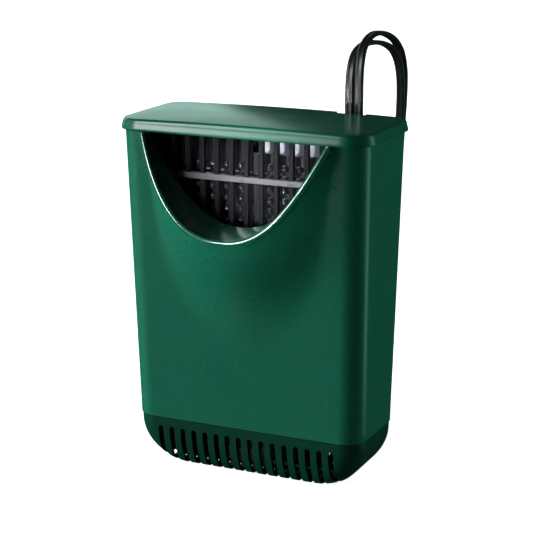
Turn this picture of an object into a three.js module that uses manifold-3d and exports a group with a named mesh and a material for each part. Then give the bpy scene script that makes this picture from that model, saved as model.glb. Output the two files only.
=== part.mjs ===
// In-tank waterfall power filter for an aquarium or terrarium.
// Millimetres, +Z up, front towards -Y, origin in the middle of the flat base.
import * as THREE from 'three';
import { mergeVertices } from 'three/addons/utils/BufferGeometryUtils.js';
import Module from 'manifold-3d';

const wasm = await Module();
wasm.setup();

// ---------------------------------------------------------------- driving dimensions
const CREASE_Z = 27.5; // where the intake cap meets the housing
const HOUSING_TOP = 190.9;
const WALL = 2;
const CREASE = { half: 66.57, front: 27.13, rear: 25.13 };
const TOP = { half: 69.7, front: 33.68, rear: 30.65, z: 188.7 };
const CORNER = { front: 11.7, rear: 7.2 };
const PARTITION = { bottom: 64, top: 66 };

const LID = { half: 72, front: 36, rear: 32, rimBottom: 187.6, rimTop: 191.4, edge: 193.4, crown: 1.05 };
const LID_CORNER = { front: 14.4, rear: 9.7 };
const NOTCH = { x0: 29, x1: 46.5, y: 26 };

const CAP = { sideInset: 16.5, faceInset: 7.3, power: 2.5, round: 3.5, step: 0.4, floor: 2 };
const SLOT = { count: 16, pitch: 6.74, width: 3, top: 22.8, frontEnd: -7, rearStart: 9, rearFrom: -35 };

const LIP = { half: 52.3, bottom: 136.9, rise: 50.3, power: 2.35, front: -54, back: 15.7, bow: 3.4 };
const THROAT = { y: -30, bottom: 140.2, rise: 46.8, power: 2.15 };
const FAIRING = { foot: 62, atBottom: 70, atTop: 6, power: 1.6 };

const BAR = { pitch: 8.5, width: 2.8, front: -22.8, back: -20.3, bottom: 69, each: 6, half: 52.4 };
const INSERT = { bottom: 66.4, top: 186, half: 60.5 };
const LEDGE = { z: [164.1, 131, 96], height: 3.2, front: -23.9, back: -19.6 };
const STUD = { radius: 1.75, columns: 6, rows: 7, across: 8.2, down: 5.85, top: 170.2, tip: -19.2 };
const PLATE = { middle: 3, gap: 2.5, front: -15.8, back: -13.8, top: { left: 185.6, right: 177.5 } };

const CARTRIDGE = { inner: 2.4, outer: 59.5, front: -12.4, back: -3.6, top: 185, bottom: 66.4 };
const AXIS = { y: -1, z: 24 }; // impeller shaft
const PUMP = { x0: 4, x1: 32, y0: AXIS.y - 11.5, y1: AXIS.y + 19, z0: 8, z1: 40 };
const RISER = { x: -7, y: AXIS.y + 8.5, top: 92 };
const GLAND = { x: 25.4, y: 12 };
const HEATER = { x: 50, y: 13, radius: 7.5, bottom: 70, top: 140 };
const CUP = { x: 42, z: [55, 150], face: 40, radius: 16 };

const LEAD_RADIUS = 2.35;
const COIL = { x: 0, y: 65.5, middle: 28.5, thick: 11, bottom: 0.9, height: 10.6, gap: 0.3 };
const PLUG = { x: -30, y: 99.8, blade: 6.35, height: 11 };

// ---------------------------------------------------------------- materials
const finish = (color, roughness, metalness = 0) =>
  new THREE.MeshStandardMaterial({ color, roughness, metalness });
const greenPlastic = finish(0x1a5a46, 0.34);
const blackPlastic = finish(0x1b1b20, 0.4);
const studPlastic = finish(0x2b2b33, 0.22);
const whiteFloss = finish(0xdde3ee, 0.95);
const carbonGrain = finish(0x15151a, 0.9);
const pumpPlastic = finish(0x202226, 0.45);
const rubber = finish(0x141416, 0.75);
const clearRubber = finish(0xbfd0cc, 0.35);
const ceramic = finish(0xf0ede4, 0.3);
const ferrite = finish(0x33343a, 0.5, 0.2);
const steelSheet = finish(0x8b8e92, 0.4, 0.9);
const copper = finish(0xb5652f, 0.35, 1);
const glass = finish(0xcfe0e2, 0.05);
const brass = finish(0xc9a85c, 0.3, 1);
const leadVinyl = finish(0x202022, 0.35);

// ---------------------------------------------------------------- solids
function solid(geometry) {
  const bare = geometry.clone();
  bare.deleteAttribute('normal');
  bare.deleteAttribute('uv');
  const merged = mergeVertices(bare, 1e-4);
  const vertProperties = new Float32Array(merged.attributes.position.array);
  const triVerts = new Uint32Array(merged.index.array);
  return new wasm.Manifold(new wasm.Mesh({ numProp: 3, vertProperties, triVerts }));
}

function geometryOf(manifold) {
  const mesh = manifold.getMesh();
  const geometry = new THREE.BufferGeometry();
  geometry.setAttribute('position', new THREE.BufferAttribute(new Float32Array(mesh.vertProperties), 3));
  geometry.setIndex(new THREE.BufferAttribute(new Uint32Array(mesh.triVerts), 1));
  geometry.computeVertexNormals();
  return geometry;
}

const part = new THREE.Group();

function add(name, manifold, material) {
  const mesh = new THREE.Mesh(geometryOf(manifold), material);
  mesh.name = name;
  part.add(mesh);
}

const join = (first, ...rest) => rest.reduce((sum, next) => sum.add(next), first);
const cut = (first, ...rest) => rest.reduce((left, next) => left.subtract(next), first);

function box(x0, x1, y0, y1, z0, z1) {
  const geometry = new THREE.BoxGeometry(x1 - x0, y1 - y0, z1 - z0);
  geometry.translate((x0 + x1) / 2, (y0 + y1) / 2, (z0 + z1) / 2);
  return solid(geometry);
}

// A solid of revolution about a line through (x, y, z) along one axis; the profile is [radius, along].
function turned(profile, axis, x, y, z, sides = 18) {
  const points = profile.map(([radius, along]) => new THREE.Vector2(radius, along));
  const geometry = new THREE.LatheGeometry(points, sides);
  if (axis === 'z') geometry.rotateX(Math.PI / 2);
  if (axis === 'x') geometry.rotateZ(-Math.PI / 2);
  geometry.translate(x, y, z);
  return solid(geometry);
}

const rod = (radius, from, to, axis, x, y, z, sides = 18) =>
  turned([[0, from], [radius, from], [radius, to], [0, to]], axis, x, y, z, sides);

const pipe = (inner, outer, from, to, axis, x, y, z, sides = 18) =>
  turned([[inner, from], [outer, from], [outer, to], [inner, to], [inner, from]], axis, x, y, z, sides);

// A closed solid through a stack of rings that all have the same number of points.
function loft(rings) {
  const count = rings[0].length;
  const positions = rings.flat().flatMap((p) => [p.x, p.y, p.z]);
  const index = [];
  for (let r = 0; r + 1 < rings.length; r++) {
    for (let i = 0; i < count; i++) {
      const a = r * count + i;
      const b = r * count + ((i + 1) % count);
      index.push(a, b, a + count, b, b + count, a + count);
    }
  }
  const last = (rings.length - 1) * count;
  for (let i = 1; i + 1 < count; i++) {
    index.push(0, i + 1, i, last, last + i, last + i + 1);
  }
  const geometry = new THREE.BufferGeometry();
  geometry.setAttribute('position', new THREE.Float32BufferAttribute(positions, 3));
  geometry.setIndex(index);
  return solid(geometry);
}

// The plan outline of the case: a rectangle with front and rear corner radii, anticlockwise.
function outline(half, front, rear, frontRadius, rearRadius, z, steps = 5) {
  const corners = [
    [half - frontRadius, -front + frontRadius, frontRadius, -Math.PI / 2],
    [half - rearRadius, rear - rearRadius, rearRadius, 0],
    [-half + rearRadius, rear - rearRadius, rearRadius, Math.PI / 2],
    [-half + frontRadius, -front + frontRadius, frontRadius, Math.PI],
  ];
  return corners.flatMap(([x, y, radius, start]) =>
    Array.from({ length: steps + 1 }, (_, i) => {
      const turn = start + (i / steps) * (Math.PI / 2);
      return new THREE.Vector3(x + radius * Math.cos(turn), y + radius * Math.sin(turn), z);
    }),
  );
}

const mix = (a, b, t) => a + (b - a) * t;
const draft = (z) => (z - CREASE_Z) / (TOP.z - CREASE_Z);
const sideAt = (z) => mix(CREASE.half, TOP.half, draft(z));
const frontAt = (z) => mix(CREASE.front, TOP.front, draft(z));
const rearAt = (z) => mix(CREASE.rear, TOP.rear, draft(z));

function shellRing(z, inset) {
  return outline(
    sideAt(z) - inset, frontAt(z) - inset, rearAt(z) - inset,
    CORNER.front - inset, CORNER.rear - inset, z,
  );
}

const shellBlock = (z0, z1, inset) => loft([shellRing(z0, inset), shellRing(z1, inset)]);

// ---------------------------------------------------------------- spout
const lipZ = (x) => LIP.bottom + LIP.rise * (Math.abs(x) / LIP.half) ** LIP.power;
const lipY = (x) => LIP.front + LIP.back * (Math.abs(x) / LIP.half) ** LIP.bow;
const throatZ = (x) => THROAT.bottom + THROAT.rise * (Math.abs(x) / LIP.half) ** THROAT.power;

function acrossLip(steps) {
  const turn = (i) => ((i / steps) * 2 - 1) * Math.PI / 2;
  return Array.from({ length: steps + 1 }, (_, i) => LIP.half * Math.sin(turn(i)));
}

// How far the front wall swells forward at (x, z): full at the lip, fading outwards from it.
function swell(x, z) {
  let nearest = { distance: Infinity, x: 0 };
  for (const lipX of acrossLip(60)) {
    const distance = Math.hypot(x - lipX, z - lipZ(lipX));
    if (distance < nearest.distance) nearest = { distance, x: lipX };
  }
  const height = -frontAt(lipZ(nearest.x)) - lipY(nearest.x);
  if (z > lipZ(x) && Math.abs(x) < LIP.half) return height;
  const reach = FAIRING.atTop
    + (FAIRING.atBottom - FAIRING.atTop) * Math.max(0, 1 - Math.abs(nearest.x) / LIP.half) ** FAIRING.power;
  return height * Math.max(0, 1 - nearest.distance / reach) ** 2;
}

// The swelling as a closed block whose back lies inside the front wall.
function fairing() {
  const columns = 20;
  const rows = 11;
  const sunk = 0.4;
  const top = LID.rimBottom - 0.3;
  const front = [];
  const back = [];
  for (let r = 0; r <= rows; r++) {
    for (let c = 0; c <= columns; c++) {
      const x = 62 * Math.sin(((c / columns) * 2 - 1) * 1.2) / Math.sin(1.2);
      const crest = Math.min(lipZ(x), top - 1.5);
      const below = (1 - r / (rows - 1)) ** 1.7;
      const z = r < rows ? mix(crest, FAIRING.foot, below) : Math.min(crest + 4, top);
      front.push(new THREE.Vector3(x, -frontAt(z) - swell(x, z) + sunk, z));
      back.push(new THREE.Vector3(x, -frontAt(z) + 1.2, z));
    }
  }
  const width = columns + 1;
  const half = front.length;
  const index = [];
  for (let r = 0; r < rows; r++) {
    for (let c = 0; c < columns; c++) {
      const a = r * width + c;
      index.push(a, a + 1, a + width, a + 1, a + width + 1, a + width);
      index.push(half + a, half + a + width, half + a + 1);
      index.push(half + a + 1, half + a + width, half + a + width + 1);
    }
  }
  const edge = [];
  for (let c = 0; c < columns; c++) edge.push(c);
  for (let r = 0; r < rows; r++) edge.push(r * width + columns);
  for (let c = columns; c > 0; c--) edge.push(rows * width + c);
  for (let r = rows; r > 0; r--) edge.push(r * width);
  edge.forEach((a, i) => {
    const b = edge[(i + 1) % edge.length];
    index.push(a, half + a, b, b, half + a, half + b);
  });
  const geometry = new THREE.BufferGeometry();
  geometry.setAttribute(
    'position',
    new THREE.Float32BufferAttribute([...front, ...back].flatMap((p) => [p.x, p.y, p.z]), 3),
  );
  geometry.setIndex(index);
  return solid(geometry);
}

// Everything above the chute, from the throat in the front wall out past the lip.
function chuteCut() {
  const above = HOUSING_TOP + 6;
  const ring = (y, z) => {
    const across = acrossLip(20);
    const floor = across.map((x) => new THREE.Vector3(x, y(x), z(x)));
    const lid = across.toReversed().map((x) => new THREE.Vector3(x, y(x), above));
    return [...floor, ...lid];
  };
  return loft([
    ring(() => -80, lipZ),
    ring(lipY, lipZ),
    ring(() => THROAT.y, throatZ),
    ring(() => THROAT.y + 8, throatZ),
  ].map((points) => points.toReversed()));
}

// The rounded bead that edges the spout.
function lipBead() {
  const path = new THREE.CatmullRomCurve3(
    acrossLip(16).map((x) => new THREE.Vector3(x, lipY(x), lipZ(x))),
  );
  const section = new THREE.Shape();
  section.absarc(0, 0, 1.5, 0, 2 * Math.PI);
  return solid(new THREE.ExtrudeGeometry(section, { steps: 26, extrudePath: path, curveSegments: 4 }));
}

// ---------------------------------------------------------------- housing, cap and lid
function cupBoss(x, z) {
  const wall = rearAt(z);
  return pipe(2.9, 5.5, wall - 1, 35.4, 'y', x, 0, z, 16);
}

function housing() {
  const below = shellBlock(CREASE_Z - 5, PARTITION.bottom, WALL);
  const above = shellBlock(PARTITION.top, HOUSING_TOP + 5, WALL);
  const shell = shellBlock(CREASE_Z + 0.3, LID.rimBottom - 0.3, 0);
  let body = join(shell, shellBlock(180, HOUSING_TOP, 1.1), fairing());
  body = cut(body, below, above, chuteCut());
  body = join(body, cut(lipBead(), box(-80, 80, -80, 0, LID.rimBottom - 0.3, 300)));
  for (const side of [-1, 1]) {
    for (const [y0, y1] of [[-18.6, -16.4], [-3.2, -1.2]]) {
      const [x0, x1] = [side * 61, side * 66].sort((a, b) => a - b);
      const rib = box(x0, x1, y0, y1, PARTITION.top - 1, 175);
      body = body.add(rib.intersect(shellBlock(PARTITION.bottom, 180, 1)));
    }
  }
  for (const x of [-30, 44]) body = body.add(rod(3, 40.4, PARTITION.bottom + 1, 'z', x, 4, 0, 12));
  for (const x of [-CUP.x, CUP.x]) {
    for (const z of CUP.z) body = body.add(cupBoss(x, z));
  }
  return cut(
    body,
    rod(9.6, 60, 70, 'z', RISER.x, RISER.y, 0),
    rod(5.4, 60, 70, 'z', GLAND.x, GLAND.y, 0),
    box(NOTCH.x0, NOTCH.x1, 24, 40, 171, HOUSING_TOP + 1),
  );
}

// The cap's outline pulls in towards the base, more at the sides than at the faces.
function capRing(z, wall = 0) {
  const down = (1 - z / CREASE_Z) ** CAP.power;
  const lift = Math.max(0, CAP.round - z);
  const round = CAP.round - Math.sqrt(CAP.round ** 2 - lift ** 2) + CAP.step + wall;
  return outline(
    CREASE.half - CAP.sideInset * down - round,
    CREASE.front - CAP.faceInset * down - round,
    CREASE.rear - CAP.faceInset * down - round,
    CORNER.front - wall, CORNER.rear - wall, z, 4,
  );
}

// One intake slot: straight sides and a round top, cut from front to back between two depths.
function slotCut(x, y0, y1) {
  const radius = SLOT.width / 2;
  const shape = new THREE.Shape();
  shape.moveTo(-radius, -2);
  shape.lineTo(radius, -2);
  shape.lineTo(radius, SLOT.top - radius);
  shape.absarc(0, SLOT.top - radius, radius, 0, Math.PI);
  const geometry = new THREE.ExtrudeGeometry(shape, { depth: y1 - y0, bevelEnabled: false, curveSegments: 3 });
  geometry.rotateX(Math.PI / 2);
  geometry.translate(x, y1, 0);
  return solid(geometry);
}

const slotX = Array.from({ length: SLOT.count }, (_, i) => (i - (SLOT.count - 1) / 2) * SLOT.pitch);

function intakeCap() {
  const outer = loft([0, 1.2, CAP.round, 8, 14, CREASE_Z].map((z) => capRing(z)));
  const inner = loft([CAP.floor, 4, 8, 14, CREASE_Z, CREASE_Z + 1].map((z) =>
    capRing(Math.min(z, CREASE_Z), WALL).map((p) => p.setZ(z))));
  const collar = cut(shellBlock(20, 33, WALL + 0.4), shellBlock(19, 34, WALL + 2));
  let cap = cut(outer, inner).add(collar.intersect(box(-80, 80, -80, 80, 24.5, 33)));
  for (const x of slotX) {
    cap = cut(cap, slotCut(x, -40, SLOT.frontEnd));
    if (x > SLOT.rearFrom) cap = cut(cap, slotCut(x, SLOT.rearStart, 40));
  }
  return cap;
}

function lidRing(inset, z) {
  const ring = outline(
    LID.half - inset, LID.front - inset, LID.rear - inset,
    Math.max(1, LID_CORNER.front - inset), Math.max(1, LID_CORNER.rear - inset), 0,
  );
  return ring.map((p) => p.setZ(z(p.x)));
}

function lid() {
  const level = (z) => () => z;
  const crown = (x) => LID.edge + LID.crown * (1 - (x / LID.half) ** 2);
  const outer = loft([
    lidRing(0, level(LID.rimBottom)), lidRing(0, level(LID.rimTop)), lidRing(0.35, level(192.8)),
    lidRing(1.1, level(193.3)), lidRing(2, crown), lidRing(30, crown),
  ]);
  const pocket = loft([lidRing(1.9, level(180)), lidRing(1.9, level(191.3))]);
  let cover = cut(outer, pocket);
  for (const x of [-64.8, 63]) cover = cover.add(box(x, x + 1.8, -18, 18, 187.2, 191.6));
  return cut(cover, box(NOTCH.x0, NOTCH.x1, NOTCH.y, 50, 180, 200));
}

// ---------------------------------------------------------------- scrubber insert
function scrubberFrame() {
  const { half, width, front, back, bottom } = BAR;
  const barX = Array.from({ length: 2 * BAR.each + 1 }, (_, i) => (i - BAR.each) * BAR.pitch);
  const bars = barX.map((x) => box(x - width / 2, x + width / 2, front, back, bottom, INSERT.top));
  const ledges = LEDGE.z.map((z) =>
    box(-half, half, LEDGE.front, LEDGE.back, z - LEDGE.height / 2, z + LEDGE.height / 2));
  const foot = box(-half, half, front + 0.4, LEDGE.back, INSERT.bottom, bottom + 1);
  return join(foot, ...bars, ...ledges);
}

// A plate with rows of studs that break up the falling water; side is -1 or 1.
function studPlate(side) {
  const [x0, x1] = [PLATE.middle + side * PLATE.gap, side * INSERT.half].sort((p, q) => p - q);
  const top = side < 0 ? PLATE.top.left : PLATE.top.right;
  let plate = box(x0, x1, PLATE.front, PLATE.back, INSERT.bottom, top);
  for (let column = 1; column <= STUD.columns; column++) {
    for (let row = 0; row < STUD.rows; row++) {
      const x = PLATE.middle + side * column * STUD.across;
      const z = STUD.top - row * STUD.down;
      plate = plate.add(rod(STUD.radius, STUD.tip, PLATE.front + 0.5, 'y', x, 0, z, 6));
    }
  }
  return plate;
}

// ---------------------------------------------------------------- cartridges
function cartridge(side, name) {
  const spans = (a, b) => [side * a, side * b].sort((p, q) => p - q);
  const boxed = (inset, z0, z1) => {
    const [x0, x1] = spans(CARTRIDGE.inner + inset, CARTRIDGE.outer - inset);
    return box(x0, x1, CARTRIDGE.front + inset, CARTRIDGE.back - inset, z0, z1);
  };
  const sleeve = cut(boxed(0, CARTRIDGE.bottom, CARTRIDGE.top), boxed(1.8, CARTRIDGE.bottom + 2, 200));
  const frame = cut(
    boxed(2.1, CARTRIDGE.bottom + 2.4, CARTRIDGE.top - 0.5),
    boxed(2.9, CARTRIDGE.bottom + 3.2, 200),
    windows(side),
  );
  const carbon = boxed(3.2, CARTRIDGE.bottom + 3.6, 150);
  add(`${name}_sleeve`, sleeve, whiteFloss);
  add(`${name}_frame`, frame, blackPlastic);
  add(`${name}_carbon`, carbon, carbonGrain);
}

// Openings that let water through a cartridge frame.
function windows(side) {
  const holes = [];
  for (const x of [10, 23, 36, 49]) {
    for (const z of [74, 104, 134]) holes.push(box(side * x - 4, side * x + 4, -15, 0, z, z + 24));
  }
  return join(...holes);
}

// ---------------------------------------------------------------- pump
function motorCase() {
  const { x0, x1, y0, y1, z0, z1 } = PUMP;
  const shell = cut(box(x0, x1, y0, y1, z0, z1), box(x0 + 2, x1 - 2, y0 + 2, y1 - 2, z0 + 2, z1 + 5));
  const well = rod(8.9, x0, x1 - 4, 'x', 0, AXIS.y, AXIS.z);
  return cut(shell.add(well), rod(7.5, x0 - 5, x1 - 5.5, 'x', 0, AXIS.y, AXIS.z));
}

function motorCover() {
  const { x0, x1, y0, y1, z1 } = PUMP;
  const plate = box(x0 + 2.3, x1 - 2.3, y0 + 2.3, y1 - 2.3, z1 - 2, z1);
  return cut(plate, rod(3.4, z1 - 5, z1 + 5, 'z', GLAND.x, GLAND.y, 0));
}

function statorCore() {
  return cut(
    box(10, 24, AXIS.y - 9.2, AXIS.y + 15, AXIS.z - 12.8, AXIS.z + 12.8),
    rod(9.2, 0, 40, 'x', 0, AXIS.y, AXIS.z),
    box(0, 40, -20, AXIS.y, AXIS.z - 2, AXIS.z + 2),
    box(0, 40, AXIS.y + 6, AXIS.y + 11.6, AXIS.z - 8, AXIS.z + 8),
  );
}

const statorCoil = () => cut(
  box(7.6, 26.4, AXIS.y + 9.3, AXIS.y + 16.7, AXIS.z - 7.6, AXIS.z + 7.6),
  box(9.7, 24.3, AXIS.y + 11.3, AXIS.y + 15.3, 0, 50),
);

function impeller() {
  const hub = rod(4.2, -14.5, 2.6, 'x', 0, AXIS.y, AXIS.z, 16);
  const blades = Array.from({ length: 6 }, (_, i) => {
    const geometry = new THREE.BoxGeometry(9, 1.6, 10);
    geometry.translate(-9.5, 0, 7.4);
    geometry.rotateX((i * Math.PI) / 3 + 0.2);
    geometry.translate(0, AXIS.y, AXIS.z);
    return solid(geometry);
  });
  return cut(join(hub, ...blades), rod(1.5, -20, 20, 'x', 0, AXIS.y, AXIS.z, 12));
}

function volute() {
  const chamber = rod(16, -18, 3.7, 'x', 0, AXIS.y, AXIS.z);
  const spigot = rod(6, AXIS.z, 52, 'z', RISER.x, RISER.y, 0);
  const flange = box(1.7, 3.7, AXIS.y - 11, AXIS.y + 16, 9, 39);
  return cut(
    join(chamber, spigot, flange),
    rod(14, -20, 1.5, 'x', 0, AXIS.y, AXIS.z),
    rod(9.2, 0, 5, 'x', 0, AXIS.y, AXIS.z),
    rod(4.6, AXIS.z + 6, 60, 'z', RISER.x, RISER.y, 0),
  );
}

function voluteCover() {
  const hub = rod(3.4, -20.6, -15.2, 'x', 0, AXIS.y, AXIS.z, 16);
  const disc = join(rod(16, -20.6, -18.3, 'x', 0, AXIS.y, AXIS.z), hub);
  const inlets = Array.from({ length: 6 }, (_, i) => {
    const turn = (i * Math.PI) / 3;
    return rod(2.4, -25, -10, 'x', 0, AXIS.y + 7.4 * Math.cos(turn), AXIS.z + 7.4 * Math.sin(turn), 10);
  });
  return cut(disc, ...inlets, rod(2.3, -19.2, -10, 'x', 0, AXIS.y, AXIS.z, 12));
}

function pump() {
  add('motor_case', motorCase(), pumpPlastic);
  add('motor_cover', motorCover(), pumpPlastic);
  add('stator_core', statorCore(), steelSheet);
  add('stator_winding', statorCoil(), copper);
  add('rotor_magnet', pipe(1.5, 6.8, 3, 21, 'x', 0, AXIS.y, AXIS.z), ferrite);
  add('impeller', impeller(), pumpPlastic);
  add('rotor_shaft', rod(1.2, -18, 25.5, 'x', 0, AXIS.y, AXIS.z, 12), ceramic);
  add('bush_front', pipe(1.5, 2, -18.8, -15.2, 'x', 0, AXIS.y, AXIS.z, 12), rubber);
  add('bush_rear', pipe(1.5, 7, 22, 26, 'x', 0, AXIS.y, AXIS.z, 16), rubber);
  add('volute', volute(), pumpPlastic);
  add('volute_cover', voluteCover(), pumpPlastic);
  add('pump_pad_left', box(5, 12, -6, 8, CAP.floor + 0.3, PUMP.z0 - 0.3), rubber);
  add('pump_pad_right', box(24, 31, -6, 8, CAP.floor + 0.3, PUMP.z0 - 0.3), rubber);
  add('riser_tube', pipe(6.3, 7.6, 41, RISER.top, 'z', RISER.x, RISER.y, 0), blackPlastic);
  add('riser_seal', seal(7.9, 9.3, 10.8, RISER.x, RISER.y), rubber);
  add('diffuser_cap', diffuserCap(), blackPlastic);
}

// A grommet that grips the partition from both sides.
function seal(inner, neck, flange, x, y) {
  const { bottom, top } = PARTITION;
  const profile = [
    [inner, bottom - 2], [flange, bottom - 2], [flange, bottom - 0.3], [neck, bottom - 0.3],
    [neck, top + 0.3], [flange, top + 0.3], [flange, top + 2], [inner, top + 2], [inner, bottom - 2],
  ];
  return turned(profile, 'z', x, y, 0, 20);
}

function diffuserCap() {
  const { x, y, top } = RISER;
  const cap = turned([[7.9, top - 6], [9.6, top - 6], [9.6, top + 8], [0, top + 12], [0, top + 10], [7.9, top + 7],
    [7.9, top - 6]], 'z', x, y, 0, 20);
  const slots = [0, 1, 2].map((i) => {
    const geometry = new THREE.BoxGeometry(30, 4, 6);
    geometry.rotateZ((i * Math.PI) / 3);
    geometry.translate(x, y, top + 3);
    return solid(geometry);
  });
  return cut(cap, ...slots);
}

// Upright posts behind the right-hand slots that keep gravel away from the pump.
function intakeComb() {
  const [front, back] = [-18, -13.2];
  const combX = slotX.slice(9);
  const [first, last] = [combX[0] - 0.9, combX.at(-1) + 0.9];
  const posts = combX.map((x, i) => box(x - 0.9, x + 0.9, front, front + 3, i < 5 ? 2.4 : 8, 30));
  return join(box(first, last, front, back, 7.8, 9.6), box(first, last, front, back, 28, 30), ...posts);
}

// ---------------------------------------------------------------- heater
function heater() {
  const { x, y, radius, bottom, top } = HEATER;
  const glassWall = [[0, bottom], [4, bottom + 0.8], [radius, bottom + 5], [radius, top], [radius - 1.2, top],
    [radius - 1.2, bottom + 5.4], [3.4, bottom + 2], [0, bottom + 1.4]];
  add('heater_tube', turned(glassWall, 'z', x, y, 0, 20), glass);
  add('heater_core', rod(4.6, bottom + 6, top - 6, 'z', x, y, 0, 14), ceramic);
  const capWall = [[0, top - 5], [radius - 1.6, top - 5], [radius - 1.6, top + 0.3], [radius + 1.4, top + 0.3],
    [radius + 1.4, top + 8], [radius - 1, top + 11], [4.6, top + 11], [4.6, top + 6], [0, top + 6]];
  add('heater_cap', turned(capWall, 'z', x, y, 0, 20), blackPlastic);
  add('heater_gland', gland(x, y, top + 6.3, 22), rubber);
  const clip = pipe(radius + 0.3, radius + 2, 104, 110, 'z', x, y, 0, 20);
  const slit = box(x - 4, x + 4, y - 12, y - 4, 100, 115);
  const arm = box(x - 3, x + 3, y + radius + 1, 24.4, 104, 110);
  add('heater_bracket', cut(clip.add(arm), slit), blackPlastic);
}

// A tapered strain relief that a lead comes out of, standing on z.
function gland(x, y, z, length) {
  const profile = [[0, z], [4.2, z], [4.2, z + 3], [2.9, z + 4], [2.6, z + length], [0, z + length]];
  return turned(profile, 'z', x, y, 0, 16);
}

// ---------------------------------------------------------------- suction cups
function suctionCup(x, z) {
  const wall = rearAt(z);
  const profile = [[0, wall + 0.6], [2.5, wall + 0.6], [2.5, 35.7], [6, 35.8], [10, 37.2], [CUP.radius, 38.8],
    [CUP.radius, CUP.face], [0, CUP.face]];
  return turned(profile, 'y', x, 0, z, 24);
}

// ---------------------------------------------------------------- leads, coils and plugs
// The leads rise side by side through the notch, twist over the rim and hang down to the floor behind.
const pumpRoute = [
  [25.4, 12, 62.7], [25.4, 12, 76], [26.6, 13.6, 94], [30.4, 18, 120], [34.6, 22, 146], [36.4, 24, 166],
  [36.6, 26.4, 179], [36.6, 28.9, 189], [36.6, 29, 200], [36.6, 29.3, 209.4], [36.6, 31, 217.8],
  [36.9, 35.2, 224.6], [38, 43, 228.6], [39.2, 53, 229], [39.8, 64, 227.8], [39.8, 76, 225],
  [39.7, 86, 220.8], [39.4, 94.6, 214], [38.9, 100.6, 204], [38, 104, 190], [36.6, 105, 170],
  [33, 105.2, 148], [28, 107.4, 118], [26, 109.2, 84], [25, 108.6, 50], [24.2, 107, 27],
  [20.6, 105.4, 19], [13.6, 103.4, 16.4], [7, 102.5, 16], [0, 102.4, 16],
];
const heaterRoute = [
  [50, 13, 168.7], [50, 13.1, 172], [48, 16.6, 177], [43.4, 24, 182.4], [41.8, 28.9, 189], [41.8, 29, 200],
  [41.8, 29.1, 211], [41.8, 30.3, 220.2], [41.7, 34, 227.6], [41.4, 42, 232.2], [41, 52, 233.8],
  [40.9, 63, 233.2], [40.8, 75, 230.6], [40.4, 87, 226], [39.8, 97.6, 218.6], [38.9, 105.2, 207.4],
  [37.6, 109.2, 193], [36.2, 110, 172], [34.8, 110.2, 148], [33, 110.2, 118], [31.2, 109.6, 84],
  [30.2, 108.6, 50], [29.6, 107.6, 18], [26.4, 106.2, 6.6], [18.6, 104, 3], [9, 102.5, 2.8], [0, 102.4, 2.8],
];

function lead(route) {
  const section = new THREE.Shape();
  section.absarc(0, 0, LEAD_RADIUS, 0, 2 * Math.PI);
  const points = route.map((point) => new THREE.Vector3(...point));
  const path = new THREE.CatmullRomCurve3(points, false, 'centripetal');
  return solid(new THREE.ExtrudeGeometry(section, { steps: 50, extrudePath: path, curveSegments: 4 }));
}

function coil(z) {
  const inner = COIL.middle - COIL.thick / 2;
  const outer = COIL.middle + COIL.thick / 2;
  return pipe(inner, outer, z, z + COIL.height, 'z', COIL.x, COIL.y, 0, 28);
}

// A flat tie around both coils, lying under them.
function coilTie(top) {
  const x = COIL.x - COIL.middle;
  const half = COIL.thick / 2;
  const outer = box(x - half - 1.6, x + half + 1.6, COIL.y - 2.5, COIL.y + 2.5, 0, top + 1.5);
  return cut(outer, box(x - half - 0.5, x + half + 0.5, COIL.y - 5, COIL.y + 5, 0.6, top + 0.4));
}

// A moulded two-blade plug lying flat, with its blades towards -X.
function plug(name, z) {
  const half = [[0, 2.8], [14, 3.9], [17, 8], [30, 9]];
  const shape = new THREE.Shape();
  [...half, ...half.toReversed().map(([along, wide]) => [along, -wide])]
    .forEach(([along, wide], i) => (i ? shape.lineTo(-along, wide) : shape.moveTo(-along, wide)));
  const geometry = new THREE.ExtrudeGeometry(shape, { depth: PLUG.height, bevelEnabled: false });
  geometry.translate(PLUG.x, PLUG.y, z);
  const sides = [-PLUG.blade, PLUG.blade];
  const [face, middle] = [PLUG.x - 30, z + PLUG.height / 2];
  const seats = sides.map((dy) =>
    box(face - 1, face + 4, PLUG.y + dy - 1.1, PLUG.y + dy + 1.1, middle - 3.5, middle + 3.5));
  add(name, cut(solid(geometry), ...seats), leadVinyl);
  sides.forEach((dy, i) => {
    const y = PLUG.y + dy;
    const blade = box(face - 16, face + 3.7, y - 0.75, y + 0.75, middle - 3.15, middle + 3.15);
    add(`${name}_blade_${i + 1}`, blade, brass);
  });
}

// ---------------------------------------------------------------- assembly
add('housing', housing(), greenPlastic);
add('intake_cap', intakeCap(), greenPlastic);
add('lid', lid(), greenPlastic);
add('scrubber_frame', scrubberFrame(), blackPlastic);
add('scrubber_plate_left', studPlate(-1), studPlastic);
add('scrubber_plate_right', studPlate(1), studPlastic);
add('scrubber_post', box(PLATE.middle - 2, PLATE.middle + 2, -18, -13.4, INSERT.bottom, 178), studPlastic);
add('cartridge_rail', box(-1.8, 1.8, -12.4, -3.6, INSERT.bottom, 180), blackPlastic);
cartridge(-1, 'cartridge_left');
cartridge(1, 'cartridge_right');
pump();
add('intake_comb', intakeComb(), greenPlastic);
add('pump_gland', gland(GLAND.x, GLAND.y, PUMP.z1 + 0.3, 22), rubber);
add('lead_grommet', seal(3, 5, 7, GLAND.x, GLAND.y), rubber);
heater();
CUP.z.forEach((z, row) => {
  [-CUP.x, CUP.x].forEach((x, side) => add(`suction_cup_${2 * row + side + 1}`, suctionCup(x, z), clearRubber));
});
add('pump_lead', lead(pumpRoute), leadVinyl);
add('heater_lead', lead(heaterRoute), leadVinyl);
add('heater_coil', coil(COIL.bottom), leadVinyl);
add('pump_coil', coil(COIL.bottom + COIL.height + COIL.gap), leadVinyl);
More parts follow.
